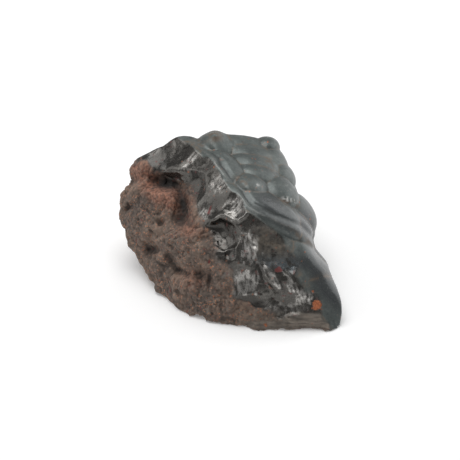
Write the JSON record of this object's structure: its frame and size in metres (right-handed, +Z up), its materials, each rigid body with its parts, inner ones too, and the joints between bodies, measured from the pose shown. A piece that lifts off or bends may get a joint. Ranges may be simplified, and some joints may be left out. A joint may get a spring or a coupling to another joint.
{
  "type": "hematite specimen",
  "caption": "Natural hematite stone, with smooth overlapping round lobes on one side and a rough, partly glossy broken face with a small cave on the other.",
  "frame": {"origin": "middle of the stone's box in X and Y, at the height of the surface that it rests on", "axes": "+X along the stone's longest side, to the right as its broken face is seen; +Y away from the broken face; +Z up"},
  "size_m": [0.0624, 0.0562, 0.0352],
  "materials": {
    "stone": "satin"
  },
  "bodies": {
    "root": {"stone": "stone"}
  },
  "joints": []
}
